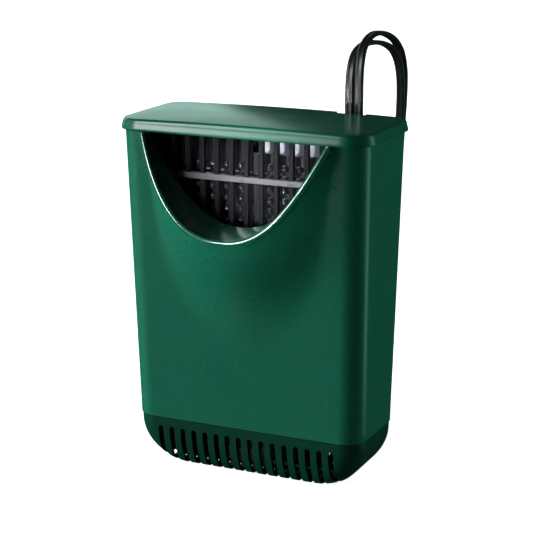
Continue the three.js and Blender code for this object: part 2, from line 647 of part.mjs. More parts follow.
add('coil_tie', coilTie(COIL.bottom + 2 * COIL.height + COIL.gap), rubber);
plug('heater_plug', 0.2);
plug('pump_plug', 0.5 + PLUG.height);

export default part;
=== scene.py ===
"""Looks for the aquarium waterfall filter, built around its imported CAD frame.

Lengths are millimetres in the part's own frame, and piece() turns them into metres when it makes a mesh.
Lamps and the camera are placed in metres.
"""
import math

import bmesh
import bpy
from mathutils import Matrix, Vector


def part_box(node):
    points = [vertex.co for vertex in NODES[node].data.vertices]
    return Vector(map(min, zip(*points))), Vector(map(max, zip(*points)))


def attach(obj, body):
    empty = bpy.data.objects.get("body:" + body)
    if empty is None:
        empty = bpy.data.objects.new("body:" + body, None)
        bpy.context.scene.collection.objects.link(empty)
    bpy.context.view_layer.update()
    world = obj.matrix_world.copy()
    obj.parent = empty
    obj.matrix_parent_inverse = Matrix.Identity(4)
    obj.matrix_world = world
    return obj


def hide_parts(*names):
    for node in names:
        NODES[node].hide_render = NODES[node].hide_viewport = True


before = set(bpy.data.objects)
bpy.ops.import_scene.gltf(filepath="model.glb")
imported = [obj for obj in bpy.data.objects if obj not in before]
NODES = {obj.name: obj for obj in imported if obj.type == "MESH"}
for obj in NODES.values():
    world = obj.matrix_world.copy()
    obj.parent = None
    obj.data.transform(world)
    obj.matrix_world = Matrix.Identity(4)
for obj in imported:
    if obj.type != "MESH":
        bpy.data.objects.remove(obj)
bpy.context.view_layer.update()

MM = 0.001

# ---------------------------------------------------------------- sizes shared with the CAD part
CREASE_Z = 27.5
HOUSING_TOP = 190.9
WALL = 2.0
CREASE = {"half": 66.57, "front": 27.13, "rear": 25.13}
TOP = {"half": 69.7, "front": 33.68, "rear": 30.65, "z": 188.7}
CORNER_FRONT, CORNER_REAR = 11.7, 7.2
PARTITION = (64.0, 66.0)
RIM_BOTTOM, RIM_TOP = 187.6, 191.3
LID = {"half": 72.0, "front": 36.0, "rear": 32.0}
LID_CORNER_FRONT, LID_CORNER_REAR = 14.4, 9.7
LID_EDGE, LID_CROWN = 193.4, 1.05
NOTCH = {"x0": 29.0, "x1": 46.5, "y": 26.0}
CAP = {"side": 16.5, "face": 7.3, "power": 2.5, "round": 3.5, "step": 0.4, "floor": 2.0}
SLOT = {"count": 16, "pitch": 6.74, "width": 3.0, "top": 22.8, "front_end": -7.0,
        "rear_start": 9.0, "rear_from": -35.0}
LIP = {"half": 52.3, "bottom": 136.9, "rise": 50.3, "power": 2.35, "front": -54.0, "back": 15.7, "bow": 3.4}
THROAT = {"bottom": 140.2, "rise": 46.8, "power": 2.15}
FAIRING = {"foot": 62.0, "bottom": 70.0, "top": 6.0, "power": 1.6, "soft": 0.15}
COIL = {"x": 0.0, "y": 65.5, "bottom": 0.9, "height": 10.6, "gap": 0.3}
LEAD_WIDTH, LEAD_THICK = 5.2, 2.6
CUP_X, CUP_Z, CUP_SEAT = (-42, 42), (55, 150), 35.4


def mix(a, b, t):
    return a + (b - a) * t


def draft(z):
    return (z - CREASE_Z) / (TOP["z"] - CREASE_Z)


def side_at(z):
    return mix(CREASE["half"], TOP["half"], draft(z))


def front_at(z):
    return mix(CREASE["front"], TOP["front"], draft(z))


def rear_at(z):
    return mix(CREASE["rear"], TOP["rear"], draft(z))


def lip_z(x):
    return LIP["bottom"] + LIP["rise"] * (abs(x) / LIP["half"]) ** LIP["power"]


def lip_y(x):
    return LIP["front"] + LIP["back"] * (abs(x) / LIP["half"]) ** LIP["bow"]


def throat_z(x):
    return THROAT["bottom"] + THROAT["rise"] * (abs(x) / LIP["half"]) ** THROAT["power"]


# ---------------------------------------------------------------- mesh helpers
def piece(name, verts, faces, body="body", smooth=35.0):
    """A mesh object from millimetre points that rides on a body."""
    mesh = bpy.data.meshes.new(name)
    mesh.from_pydata([Vector(v) * MM for v in verts], [], faces)
    mesh.validate()
    tidy(mesh)
    obj = bpy.data.objects.new(name, mesh)
    bpy.context.collection.objects.link(obj)
    soften(obj, smooth)
    if body:
        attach(obj, body)
    return obj


def tidy(mesh):
    bm = bmesh.new()
    bm.from_mesh(mesh)
    bmesh.ops.remove_doubles(bm, verts=bm.verts, dist=1e-6)
    bmesh.ops.recalc_face_normals(bm, faces=bm.faces)
    bm.to_mesh(mesh)
    bm.free()


def soften(obj, angle):
    """Smooth shading that keeps edges sharper than angle."""
    obj.data.shade_smooth()
    obj.data.set_sharp_from_angle(angle=math.radians(angle))


def apply_modifiers(obj):
    """The object's mesh with its modifiers worked in."""
    evaluated = obj.evaluated_get(bpy.context.evaluated_depsgraph_get())
    mesh = bpy.data.meshes.new_from_object(evaluated)
    obj.modifiers.clear()
    old = obj.data
    obj.data = mesh
    mesh.name = obj.name
    bpy.data.meshes.remove(old)


def boolean(obj, tools, smooth=35.0):
    """Cuts each tool out of the object and removes the tool."""
    for tool in tools:
        modifier = obj.modifiers.new("cut", "BOOLEAN")
        modifier.operation = "DIFFERENCE"
        modifier.solver = "MANIFOLD"
        modifier.object = tool
        apply_modifiers(obj)
        bpy.data.objects.remove(tool)
    soften(obj, smooth)
    return obj


def bevel(obj, width, segments=2, angle=35.0):
    modifier = obj.modifiers.new("edge", "BEVEL")
    modifier.width = width * MM
    modifier.segments = segments
    modifier.limit_method = "ANGLE"
    modifier.angle_limit = math.radians(angle)
    modifier.harden_normals = False
    return obj


def grid_faces(rows, columns, closed=False):
    """Quads of a grid of points listed row by row."""
    wide = columns if closed else columns - 1
    faces = []
    for r in range(rows - 1):
        for c in range(wide):
            a = r * columns + c
            b = r * columns + (c + 1) % columns
            faces.append((a, b, b + columns, a + columns))
    return faces


def capped_faces(rows, columns):
    """Faces of a tube of rings, with one face over each end."""
    start = (rows - 1) * columns
    ends = [tuple(range(columns))[::-1], tuple(range(start, start + columns))]
    return grid_faces(rows, columns, True) + ends


def loft(name, rings, body="body", smooth=35.0):
    """A closed solid through rings with equal numbers of points."""
    verts = [v for ring in rings for v in ring]
    return piece(name, verts, capped_faces(len(rings), len(rings[0])), body, smooth)


def tangent_at(path, i):
    return (path[min(i + 1, len(path) - 1)] - path[max(i - 1, 0)]).normalized()


def block(name, x, y, z, body=None):
    """A box between pairs of coordinates, used as a cutter or a plain insert."""
    ring = [(x[0], y[0]), (x[1], y[0]), (x[1], y[1]), (x[0], y[1])]
    return loft(name, [[(px, py, z[0]) for px, py in ring], [(px, py, z[1]) for px, py in ring]], body)


def circle(axis, centre, radius, along, sides):
    """Points round an axis through centre, at a distance along it."""
    ring = []
    for i in range(sides):
        turn = 2 * math.pi * i / sides
        u, v = radius * math.cos(turn), radius * math.sin(turn)
        local = {"x": (along, u, v), "y": (u, along, v), "z": (u, v, along)}[axis]
        ring.append(tuple(c + l for c, l in zip(centre, local)))
    return ring


def turned(name, profile, axis, centre, sides=48, body="body", smooth=35.0):
    """A solid of revolution; profile is (radius, along) from end to end."""
    smallest = 1e-4
    rings = [circle(axis, centre, max(radius, smallest), along, sides) for radius, along in profile]
    return loft(name, rings, body, smooth)


def tube(name, profile, axis, centre, sides=48):
    """A ring of revolution whose profile closes on itself."""
    verts = [point for radius, along in profile for point in circle(axis, centre, radius, along, sides)]
    faces = []
    for r in range(len(profile)):
        a, b = r * sides, (r + 1) % len(profile) * sides
        for i in range(sides):
            j = (i + 1) % sides
            faces.append((a + i, a + j, b + j, b + i))
    return piece(name, verts, faces)


def outline(half, front, rear, front_radius, rear_radius, z, steps=10, face=24, side=6):
    """A rounded rectangle, anticlockwise from the front's left end; z is a number or a function of x."""
    corners = [
        (half - front_radius, -front + front_radius, front_radius, -90),
        (half - rear_radius, rear - rear_radius, rear_radius, 0),
        (-half + rear_radius, rear - rear_radius, rear_radius, 90),
        (-half + front_radius, -front + front_radius, front_radius, 180),
    ]
    arcs = []
    for x, y, radius, start in corners:
        turns = [math.radians(start + 90 * i / steps) for i in range(steps + 1)]
        arcs.append([(x + radius * math.cos(t), y + radius * math.sin(t)) for t in turns])
    points = []
    for arc, following, count in zip(arcs, arcs[1:] + arcs[:1], (side, face, side, face)):
        points += arc
        (x0, y0), (x1, y1) = arc[-1], following[0]
        points += [(mix(x0, x1, i / count), mix(y0, y1, i / count)) for i in range(1, count)]
    height = z if callable(z) else lambda x: z
    return [(x, y, height(x)) for x, y in points]


# ---------------------------------------------------------------- materials
def material(name, color, roughness, metallic=0.0, **sockets):
    """A Principled material; the other arguments are sockets, with _ for each space."""
    mat = bpy.data.materials.new(name)
    mat.use_nodes = True
    shader = mat.node_tree.nodes["Principled BSDF"]
    shader.inputs["Base Color"].default_value = (*color, 1)
    shader.inputs["Roughness"].default_value = roughness
    shader.inputs["Metallic"].default_value = metallic
    for key, value in sockets.items():
        shader.inputs[key.replace("_", " ")].default_value = value
    return mat


def noise(mat, scale, detail=3.0, stretch=None):
    """A noise texture in the object's own coordinates."""
    tree = mat.node_tree
    coordinates = tree.nodes.new("ShaderNodeTexCoord")
    texture = tree.nodes.new("ShaderNodeTexNoise")
    texture.inputs["Scale"].default_value = scale
    texture.inputs["Detail"].default_value = detail
    source = coordinates.outputs["Object"]
    if stretch:
        mapping = tree.nodes.new("ShaderNodeMapping")
        mapping.inputs["Scale"].default_value = stretch
        tree.links.new(source, mapping.inputs["Vector"])
        source = mapping.outputs["Vector"]
    tree.links.new(source, texture.inputs["Vector"])
    return texture


def vary_roughness(mat, low, high, scale, detail=3.0):
    tree = mat.node_tree
    texture = noise(mat, scale, detail)
    ramp = tree.nodes.new("ShaderNodeMapRange")
    ramp.inputs["From Min"].default_value = 0.3
    ramp.inputs["From Max"].default_value = 0.7
    ramp.inputs["To Min"].default_value = low
    ramp.inputs["To Max"].default_value = high
    tree.links.new(texture.outputs["Fac"], ramp.inputs["Value"])
    tree.links.new(ramp.outputs["Result"], tree.nodes["Principled BSDF"].inputs["Roughness"])


def vary_color(mat, first, second, scale, detail=3.0):
    tree = mat.node_tree
    texture = noise(mat, scale, detail)
    ramp = tree.nodes.new("ShaderNodeValToRGB")
    ramp.color_ramp.elements[0].position = 0.32
    ramp.color_ramp.elements[0].color = (*first, 1)
    ramp.color_ramp.elements[1].position = 0.68
    ramp.color_ramp.elements[1].color = (*second, 1)
    tree.links.new(texture.outputs["Fac"], ramp.inputs["Fac"])
    tree.links.new(ramp.outputs["Color"], tree.nodes["Principled BSDF"].inputs["Base Color"])


def grain(mat, scale, strength, distance=0.0001, detail=3.0, stretch=None):
    """Fine relief over the whole surface."""
    tree = mat.node_tree
    texture = noise(mat, scale, detail, stretch)
    bump = tree.nodes.new("ShaderNodeBump")
    bump.inputs["Strength"].default_value = strength
    bump.inputs["Distance"].default_value = distance
    tree.links.new(texture.outputs["Fac"], bump.inputs["Height"])
    tree.links.new(bump.outputs["Normal"], tree.nodes["Principled BSDF"].inputs["Normal"])


def plastic(name, color, low, high, bump=0.12, shade=0.86, **sockets):
    """Moulded plastic: slight colour drift, uneven gloss and a faint grain."""
    mat = material(name, color, (low + high) / 2, **sockets)
    darker = tuple(c * shade for c in color)
    vary_color(mat, darker, color, 24)
    vary_roughness(mat, low, high, 55, 4)
    grain(mat, 420, bump * 0.35, 0.00008)
    return mat


def paint(obj, mat):
    obj.data.materials.clear()
    obj.data.materials.append(mat)
    return obj


GREEN = plastic("green_shell", (0.0065, 0.122, 0.070), 0.26, 0.29, 0.06, 0.95, Specular_IOR_Level=0.45)
GREEN_CAP = plastic("green_cap", (0.0022, 0.040, 0.022), 0.30, 0.34, 0.06, 0.94, Specular_IOR_Level=0.2)
GREEN_LID = plastic("green_lid", (0.0052, 0.105, 0.060), 0.22, 0.26, 0.06, 0.95, Specular_IOR_Level=0.46)
GREEN_BEAD = plastic("green_bead", (0.0060, 0.122, 0.068), 0.13, 0.17, Specular_IOR_Level=1.0,
                     Coat_Weight=1.0, Coat_Roughness=0.17, Coat_IOR=1.9)
GRID = plastic("grid_plastic", (0.008, 0.008, 0.011), 0.30, 0.44, Specular_IOR_Level=0.1)
STUD = plastic("stud_plastic", (0.042, 0.043, 0.054), 0.08, 0.15, Specular_IOR_Level=1.0, Coat_Weight=1.0)
# The ledges are the grid's own black plastic; this light grey is a painted highlight for the light falling on
# their upward-facing tops.
LEDGE_PAINTED_LIGHT = plastic("ledge_painted_highlight", (0.16, 0.16, 0.175), 0.18, 0.40, 0.4, 0.6)
BLACK = plastic("black_plastic", (0.014, 0.014, 0.015), 0.36, 0.5, 0.2)
PUMP = plastic("pump_plastic", (0.018, 0.019, 0.021), 0.38, 0.55, 0.25)
RUBBER = plastic("black_rubber", (0.012, 0.012, 0.013), 0.55, 0.75, 0.3)
VINYL = plastic("lead_vinyl", (0.014, 0.014, 0.015), 0.28, 0.36, 0.04)
CERAMIC = plastic("ceramic", (0.82, 0.80, 0.73), 0.22, 0.32, 0.05, 0.95)
FERRITE = plastic("ferrite", (0.040, 0.041, 0.046), 0.45, 0.6, 0.3)
CARBON = material("carbon", (0.010, 0.010, 0.011), 0.8)
vary_roughness(CARBON, 0.55, 0.95, 900)
grain(CARBON, 700, 0.9, 0.0006)
STEEL = material("sheet_steel", (0.42, 0.43, 0.45), 0.4, 1.0)
vary_roughness(STEEL, 0.3, 0.5, 60)
grain(STEEL, 300, 0.5, 0.0002, stretch=(8, 0.2, 0.2))
COPPER = material("copper_wire", (0.50, 0.18, 0.07), 0.3, 1.0)
vary_roughness(COPPER, 0.2, 0.36, 90)
grain(COPPER, 260, 0.6, 0.0003, stretch=(0.2, 0.2, 6))
BRASS = material("brass_blade", (0.58, 0.40, 0.12), 0.3, 1.0)
vary_color(BRASS, (0.50, 0.34, 0.10), (0.62, 0.44, 0.15), 40)
vary_roughness(BRASS, 0.2, 0.4, 120)
grain(BRASS, 900, 0.15)
GLASS = material("heater_glass", (0.85, 0.92, 0.92), 0.03, 0.0, Transmission_Weight=1.0, IOR=1.47)
vary_roughness(GLASS, 0.02, 0.06, 30)
CUP = plastic("cup_rubber", (0.42, 0.52, 0.49), 0.25, 0.35, 0.05, 0.95, Transmission_Weight=0.55)
FLOSS = material("white_floss", (0.60, 0.65, 0.76), 0.95, 0.0, Sheen_Weight=0.3)
vary_color(FLOSS, (0.50, 0.55, 0.68), (0.68, 0.72, 0.82), 160, 6)
vary_roughness(FLOSS, 0.85, 1.0, 200)
grain(FLOSS, 420, 0.9, 0.0008, 8, stretch=(1, 1, 0.45))


# ---------------------------------------------------------------- camera, stage and lamps
def camera():
    data = bpy.data.cameras.new("camera")
    data.sensor_width = 36.0
    data.lens = 113.08
    data.clip_start, data.clip_end = 0.05, 20.0
    obj = bpy.data.objects.new("camera", data)
    obj.location = (0.36631, -0.79371, 0.33726)
    aim(obj, (0.001253, 0.0, 0.11244))
    bpy.context.collection.objects.link(obj)
    bpy.context.scene.camera = obj


def aim(obj, target):
    direction = Vector(target) - Vector(obj.location)
    obj.rotation_euler = direction.to_track_quat("-Z", "Y").to_euler()


def add_lamp(name, data, location, target, power, color=(1, 1, 1)):
    data.energy = power
    data.color = color
    obj = bpy.data.objects.new(name, data)
    obj.location = location
    obj.visible_camera = False
    aim(obj, target)
    bpy.context.collection.objects.link(obj)
    return obj


def panel(name, around, up, distance, size, power, color=(1, 1, 1), glossy=True, diffuse=True):
    """A soft panel lamp facing the object, placed by its angles from the front to the left, and upwards."""
    around, up = math.radians(around), math.radians(up)
    out, middle = math.cos(up) * distance, 0.1
    data = bpy.data.lights.new(name, "AREA")
    data.shape = "RECTANGLE"
    data.size, data.size_y = size
    place = (-math.sin(around) * out, -math.cos(around) * out, middle + math.sin(up) * distance)
    obj = add_lamp(name, data, place, (0, 0, middle), power, color)
    obj.visible_glossy, obj.visible_diffuse = glossy, diffuse


def snoot(name, location, target, angle, power):
    """A narrow soft-edged spot."""
    data = bpy.data.lights.new(name, "SPOT")
    data.spot_size, data.spot_blend = math.radians(angle), 0.8
    data.shadow_soft_size = 0.03
    add_lamp(name, data, location, target, power)


def backdrop():
    """A pale round floor that curves up into a wall all round."""
    flat, bend, top, sides = 2400, 400, 3200, 72
    profile = [(flat * i / 6, 0) for i in range(7)]
    for i in range(1, 11):
        turn = math.radians(9 * i)
        profile.append((flat + bend * math.sin(turn), bend - bend * math.cos(turn)))
    profile.append((flat + bend, top))
    verts = [point for r, z in profile for point in circle("z", (0, 0, 0), max(r, 0.01), z, sides)]
    sheet = piece("backdrop", verts, grid_faces(len(profile), sides, True), body=None, smooth=60)
    pale = material("backdrop_paper", (0.93, 0.93, 0.93), 0.9,
                    Emission_Color=(1, 1, 1, 1), Emission_Strength=0.9)
    sheet.data.materials.append(pale)
    sheet.visible_glossy = False
    sheet.visible_diffuse = False
    sheet.visible_shadow = False


def studio():
    """A dim sky, panels that the gloss mirrors, fills that it doesn't, and two spots into the spillway."""
    world = bpy.data.worlds.new("studio")
    world.use_nodes = True
    world.node_tree.nodes["Background"].inputs["Color"].default_value = (0.9, 0.95, 1.0, 1)
    world.node_tree.nodes["Background"].inputs["Strength"].default_value = 0.012
    bpy.context.scene.world = world
    panel("key_soft", 64, 19, 1.8, (2.2, 0.6), 44, glossy=False)
    panel("key_gloss", 64, 19, 1.8, (2.2, 0.6), 20, diffuse=False)
    panel("rim_strip", 33, 20, 1.8, (0.42, 0.86), 18, (0.9, 0.98, 1.0), diffuse=False)
    panel("left_rear", 130.2, 15, 2.0, (1.76, 1.0), 6.6, (0.64, 1.0, 0.91))
    panel("right_strip", -122, 6, 0.8, (0.3, 0.9), 1.3, (0.4, 1.0, 0.75))
    panel("front_fill", 66, -6, 1.6, (0.9, 0.9), 16, glossy=False)
    panel("under_fill", 34, -42, 2.2, (1.0, 1.0), 8, glossy=False)
    panel("right_fill", -116, 4, 1.8, (1.0, 1.0), 11, glossy=False)
    panel("rear_fill", 180, 8, 2.0, (1.2, 1.2), 9, glossy=False)
    snoot("window_spot", (-0.10, -0.80, 0.12), (0.008, -0.02, 0.168), 5.2, 42)
    snoot("ledge_spot", (-0.10, -0.70, 0.42), (0.012, -0.022, 0.166), 4.0, 9)
    bpy.context.scene.view_settings.view_transform = "Standard"


# ---------------------------------------------------------------- leads
PUMP_ROUTE = [
    (25.4, 12, 62.7), (25.4, 12, 76), (26.6, 13.6, 94), (30.4, 18, 120), (34.6, 22, 146), (36.4, 24, 166),
    (36.6, 26.4, 179), (36.6, 28.9, 189), (36.6, 29, 200), (36.6, 29.3, 209.4), (36.6, 31, 217.8),
    (36.9, 35.2, 224.6), (38, 43, 228.6), (39.2, 53, 229), (39.8, 64, 227.8), (39.8, 76, 225),
    (39.7, 86, 220.8), (39.4, 94.6, 214), (38.9, 100.6, 204), (38, 104, 190), (36.6, 105, 170),
    (33, 105.2, 148), (28, 107.4, 118), (26, 109.2, 84), (25, 108.6, 50), (24.2, 107, 27),
    (20.6, 105.4, 19), (13.6, 103.4, 16.4), (7, 102.5, 16),
]
HEATER_ROUTE = [
    (50, 13, 168.7), (50, 13.1, 172), (48, 16.6, 177), (43.4, 24, 182.4), (41.8, 28.9, 189), (41.8, 29, 200),
    (41.8, 29.1, 211), (41.8, 30.3, 220.2), (41.7, 34, 227.6), (41.4, 42, 232.2), (41, 52, 233.8),
    (40.9, 63, 233.2), (40.8, 75, 230.6), (40.4, 87, 226), (39.8, 97.6, 218.6), (38.9, 105.2, 207.4),
    (37.6, 109.2, 193), (36.2, 110, 172), (34.8, 110.2, 148), (33, 110.2, 118), (31.2, 109.6, 84),
    (30.2, 108.6, 50), (29.6, 107.6, 18), (26.4, 106.2, 6.6), (18.6, 104, 3.6), (9, 102.5, 3.5),
]


def smooth_path(points, step=1.6):
    """Points along a centripetal Catmull-Rom curve through the given ones, end to end."""
    pts = [Vector(p) for p in points]
    pts = [2 * pts[0] - pts[1], *pts, 2 * pts[-1] - pts[-2]]
    out = []
    for p0, p1, p2, p3 in zip(pts, pts[1:], pts[2:], pts[3:]):
        k0 = 0.0
        k1 = k0 + (p1 - p0).length ** 0.5
        k2 = k1 + (p2 - p1).length ** 0.5
        k3 = k2 + (p3 - p2).length ** 0.5
        count = max(2, round((p2 - p1).length / step))
        for i in range(count):
            k = mix(k1, k2, i / count)
            a1 = p0.lerp(p1, (k - k0) / (k1 - k0))
            a2 = p1.lerp(p2, (k - k1) / (k2 - k1))
            a3 = p2.lerp(p3, (k - k2) / (k3 - k2))
            b1 = a1.lerp(a2, (k - k0) / (k2 - k0))
            b2 = a2.lerp(a3, (k - k1) / (k3 - k1))
            out.append(b1.lerp(b2, (k - k1) / (k2 - k1)))
    out.append(pts[-2])
    return out


def coil_path(level, turns, step=5.0):
    """Flat twin lead wound on edge: inwards along the lower layer, then outwards along the upper one."""
    outer, inner = 32.6, 24.4
    low = level + LEAD_WIDTH / 2 + 0.05
    high = low + LEAD_WIDTH + 0.1
    half = turns / 2
    points = []
    for i in range(round(turns * 360 / step) + 1):
        done = i * step / 360
        inwards = min(done, half) / half
        outwards = max(0.0, done - half) / half
        radius = mix(outer, inner, inwards) + (outer - inner) * outwards
        climb = min(1.0, max(0.0, (done - half + 0.12) / 0.24))
        climb = climb * climb * (3 - 2 * climb)
        arrive = max(0.0, 1 - done / 0.2)
        radius += 4.3 * arrive * arrive
        turn = math.pi / 2 + 2 * math.pi * done
        points.append(Vector((
            COIL["x"] + radius * math.cos(turn), COIL["y"] + radius * math.sin(turn), mix(low, high, climb))))
    return points


def twin_section():
    """The outline of flat twin lead: two round cores and the web between them."""
    radius, centre, reach = LEAD_THICK / 2, LEAD_THICK / 2, 125
    right = [math.radians(-reach + 2 * reach * i / 8) for i in range(9)]
    points = [(centre + radius * math.cos(t), radius * math.sin(t)) for t in right]
    points += [(-x, -y) for x, y in points]
    return points


def twin_lead(name, path, wide):
    """A swept flat twin lead; wide gives the direction of its broad side at each point of the path."""
    section = twin_section()
    verts = []
    for i, point in enumerate(path):
        tangent = tangent_at(path, i)
        across = (wide[i] - wide[i].project(tangent)).normalized()
        thick = tangent.cross(across)
        verts += [point + across * u + thick * v for u, v in section]
    return piece(name, verts, capped_faces(len(path), len(section)), smooth=50)


def broad_side(point):
    """Across the notch over the rim, then turned through a right angle on the way down behind."""
    if point.y < 60:
        return Vector((1, 0, 0))
    down = min(1.0, max(0.0, (190 - point.z) / 150))
    turn = math.radians(90 * down)
    return Vector((math.cos(turn), math.sin(turn), 0))


def lead(which, route, level, turns):
    """A mains lead from its strain relief over the rim into its coil, which it leaves for its plug."""
    free = smooth_path(route)
    wound = coil_path(level, turns)
    plug = f"{which}_plug"
    low, high = (Vector(c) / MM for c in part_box(plug))
    middle = Vector((high.x, (low.y + high.y) / 2, (low.z + high.z) / 2))
    halfway = wound[-1].lerp(middle, 0.5) + Vector((0, 0.6, 0))
    tail = smooth_path([wound[-1], halfway, middle + Vector((3, 0, 0))], 1.2)
    path = free + wound + tail[1:]
    on_edge, turning = Vector((0, 0, 1)), 25
    wide = [broad_side(p) for p in free]
    for i in range(turning):
        wide[-1 - i] = wide[-1 - i].lerp(on_edge, 1 - i / turning)
    wide += [on_edge] * (len(wound) + len(tail) - 1)
    obj = twin_lead(f"{which}_flex", path, wide)
    paint(obj, VINYL)
    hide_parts(f"{which}_lead", f"{which}_coil")


camera()
lead("heater", HEATER_ROUTE, COIL["bottom"], 8)
lead("pump", PUMP_ROUTE, COIL["bottom"] + COIL["height"] + COIL["gap"], 7)
backdrop()
studio()


# ---------------------------------------------------------------- housing
def across_lip(count):
    """Places across the lip, closest together at its steep ends."""
    return [LIP["half"] * math.sin((2 * i / count - 1) * math.pi / 2) for i in range(count + 1)]


FINE_LIP = [(x, lip_z(x)) for x in across_lip(400)]


def swell(x, z):
    """How far the front wall stands forward at (x, z): full at the lip, fading outwards from it."""
    squared, near = min(((x - px) ** 2 + (z - pz) ** 2, px) for px, pz in FINE_LIP)
    height = -front_at(lip_z(near)) - lip_y(near)
    if z > lip_z(x) and abs(x) < LIP["half"]:
        return height
    soft = FAIRING["soft"]
    sideways = (math.hypot(near / LIP["half"], soft) - soft) / (math.hypot(1, soft) - soft)
    outward = max(0.0, 1 - sideways) ** FAIRING["power"]
    reach = mix(FAIRING["top"], FAIRING["bottom"], outward)
    return height * max(0.0, 1 - math.sqrt(squared) / reach) ** 2


def shell_columns():
    """The perimeter as functions of (z, inset) that give a plan point, with the lip's x where it has one."""
    columns = []

    def beside_lip(z, inset, t, sign=1):
        return sign * mix(LIP["half"], side_at(z) - CORNER_FRONT, t), -front_at(z) + inset

    for x in across_lip(96):
        columns.append((x, lambda z, inset, x=x: (x, -front_at(z) + inset)))
    for i in range(1, 6):
        columns.append((None, lambda z, inset, t=i / 6: beside_lip(z, inset, t)))

    def corner(sign, front, start):
        radius = CORNER_FRONT if front else CORNER_REAR

        def point(z, inset, t):
            r = radius - inset
            cx = sign * (side_at(z) - radius)
            cy = -front_at(z) + radius if front else rear_at(z) - radius
            turn = math.radians(start + 90 * t)
            return cx + r * math.cos(turn), cy + r * math.sin(turn)
        return point

    def add(make, count):
        for i in range(count + 1):
            columns.append((None, lambda z, inset, t=i / count: make(z, inset, t)))

    def side(sign):
        def point(z, inset, t):
            y0, y1 = -front_at(z) + CORNER_FRONT, rear_at(z) - CORNER_REAR
            t = t if sign > 0 else 1 - t
            return sign * (side_at(z) - inset), mix(y0, y1, t)
        return point

    def rear(z, inset, t):
        half = side_at(z) - CORNER_REAR
        return mix(half, -half, t), rear_at(z) - inset

    add(corner(1, True, -90), 12)
    add(lambda z, inset, t: side(1)(z, inset, 0.08 + 0.84 * t), 6)
    add(corner(1, False, 0), 10)
    add(lambda z, inset, t: rear(z, inset, 0.02 + 0.96 * t), 40)
    add(corner(-1, False, 90), 10)
    add(lambda z, inset, t: side(-1)(z, inset, 0.08 + 0.84 * t), 6)
    add(corner(-1, True, 180), 12)
    for i in range(5, 0, -1):
        columns.append((None, lambda z, inset, t=i / 6: beside_lip(z, inset, t, -1)))
    return columns


def shell_profile(lip_x, plan):
    """One column of the housing's skin: down inside the skirt, round its edge, up outside, down inside."""
    low = CREASE_Z + 0.3
    crest = RIM_BOTTOM - 0.3
    has_lip = lip_x is not None
    top = min(lip_z(lip_x), crest) if has_lip else crest
    points = []

    def at(z, inset, forward=0.0):
        x, y = plan(z, inset)
        points.append((x, y - forward, z))

    for z in (PARTITION[0], 50, 36, low + 0.35):
        at(z, WALL)
    at(low, WALL - 0.35)
    at(low, 0.45)
    at(low + 0.14, 0.13)
    at(low + 0.45, 0.0)
    rows = 72
    for i in range(1, rows + 1):
        z = mix(top, low + 0.45, (1 - i / rows) ** 1.7)
        x, y = plan(z, 0.0)
        at(z, 0.0, swell(x, z) if y < -10 and z > FAIRING["foot"] else 0.0)
    if has_lip:
        start = Vector((lip_x, lip_y(lip_x), top))
        mouth = min(throat_z(lip_x), HOUSING_TOP - 0.5)
        end = Vector((lip_x, -front_at(mouth) + WALL, mouth))
        for i in range(1, 17):
            points.append(tuple(start.lerp(end, i / 16)))
        inner_top = mouth
    else:
        spigot, inner_top = 1.1, 187.0
        at(crest + 0.01, spigot)
        at(HOUSING_TOP - 0.3, spigot)
        at(HOUSING_TOP, 1.35)
        at(HOUSING_TOP, WALL - 0.2)
        for i in range(12):
            at(mix(HOUSING_TOP - 0.2, inner_top, i / 12), WALL)
    for i in range(1, 13):
        at(mix(inner_top, PARTITION[1], i / 12), WALL)
    return points


def lip_bead():
    """The rounded edge of the spout."""
    path = [Vector((x, lip_y(x), lip_z(x))) for x in across_lip(160)]
    sides, radius = 16, 1.5
    verts = []
    for i, point in enumerate(path):
        tangent = tangent_at(path, i)
        up = Vector((0, 1, 0)).cross(tangent).normalized() * -1
        forward = tangent.cross(up)
        for k in range(sides):
            turn = 2 * math.pi * k / sides
            verts.append(point + radius * (up * math.cos(turn) + forward * math.sin(turn)))
    bead = piece("spout_bead", verts, capped_faces(len(path), sides), smooth=60)
    return boolean(bead, [block("trim", (-90, 90), (-90, 0), (RIM_BOTTOM - 0.3, 260))], smooth=60)


def shell():
    """The housing's one thin skin, open through the partition for the riser and the pump lead."""
    profiles = [shell_profile(lip_x, plan) for lip_x, plan in shell_columns()]
    rows = len(profiles[0])
    verts = [profile[r] for r in range(rows) for profile in profiles]
    skin = piece("housing_shell", verts, capped_faces(rows, len(profiles)), smooth=32)
    cutters = []
    for node, radius in (("riser_seal", 9.6), ("lead_grommet", 5.4)):
        low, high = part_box(node)
        x, y = ((a + b) / 2 / MM for a, b in zip(low[:2], high[:2]))
        cutters.append(turned("hole", [(radius, 60), (radius, 70)], "z", (x, y, 0), 48, None))
    cutters.append(block("notch", (NOTCH["x0"], NOTCH["x1"]), (24, 40), (171, HOUSING_TOP + 1)))
    return boolean(skin, cutters, smooth=32)


def cup_boss(x, z):
    """A hollow boss at the back that a suction cup presses into."""
    wall, end = rear_at(z), CUP_SEAT
    outer, inner = 5.5, 2.9
    profile = [(outer, wall - 1), (outer, end - 0.4), (outer - 0.3, end), (inner + 0.3, end),
               (inner, end - 0.3), (inner, wall - 1)]
    return tube("cup_boss", profile, "y", (x, 0, z))


def guide_ribs():
    """The ribs on both side walls that the grid and the cartridges slide between."""
    tip, root, height = 61, 66.3, (65, 175)
    ribs = []
    for side in (-1, 1):
        for depth in ((-18.6, -16.4), (-3.2, -1.2)):
            rib = block("guide_rib", sorted((side * tip, side * root)), depth, height, "body")
            ribs.append(bevel(rib, 0.3))
    return ribs


def housing():
    skin = shell()
    bosses = [cup_boss(x, z) for x in CUP_X for z in CUP_Z]
    for part in [skin, *bosses, *guide_ribs()]:
        paint(part, GREEN)
    paint(lip_bead(), GREEN_BEAD)
    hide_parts("housing")


housing()


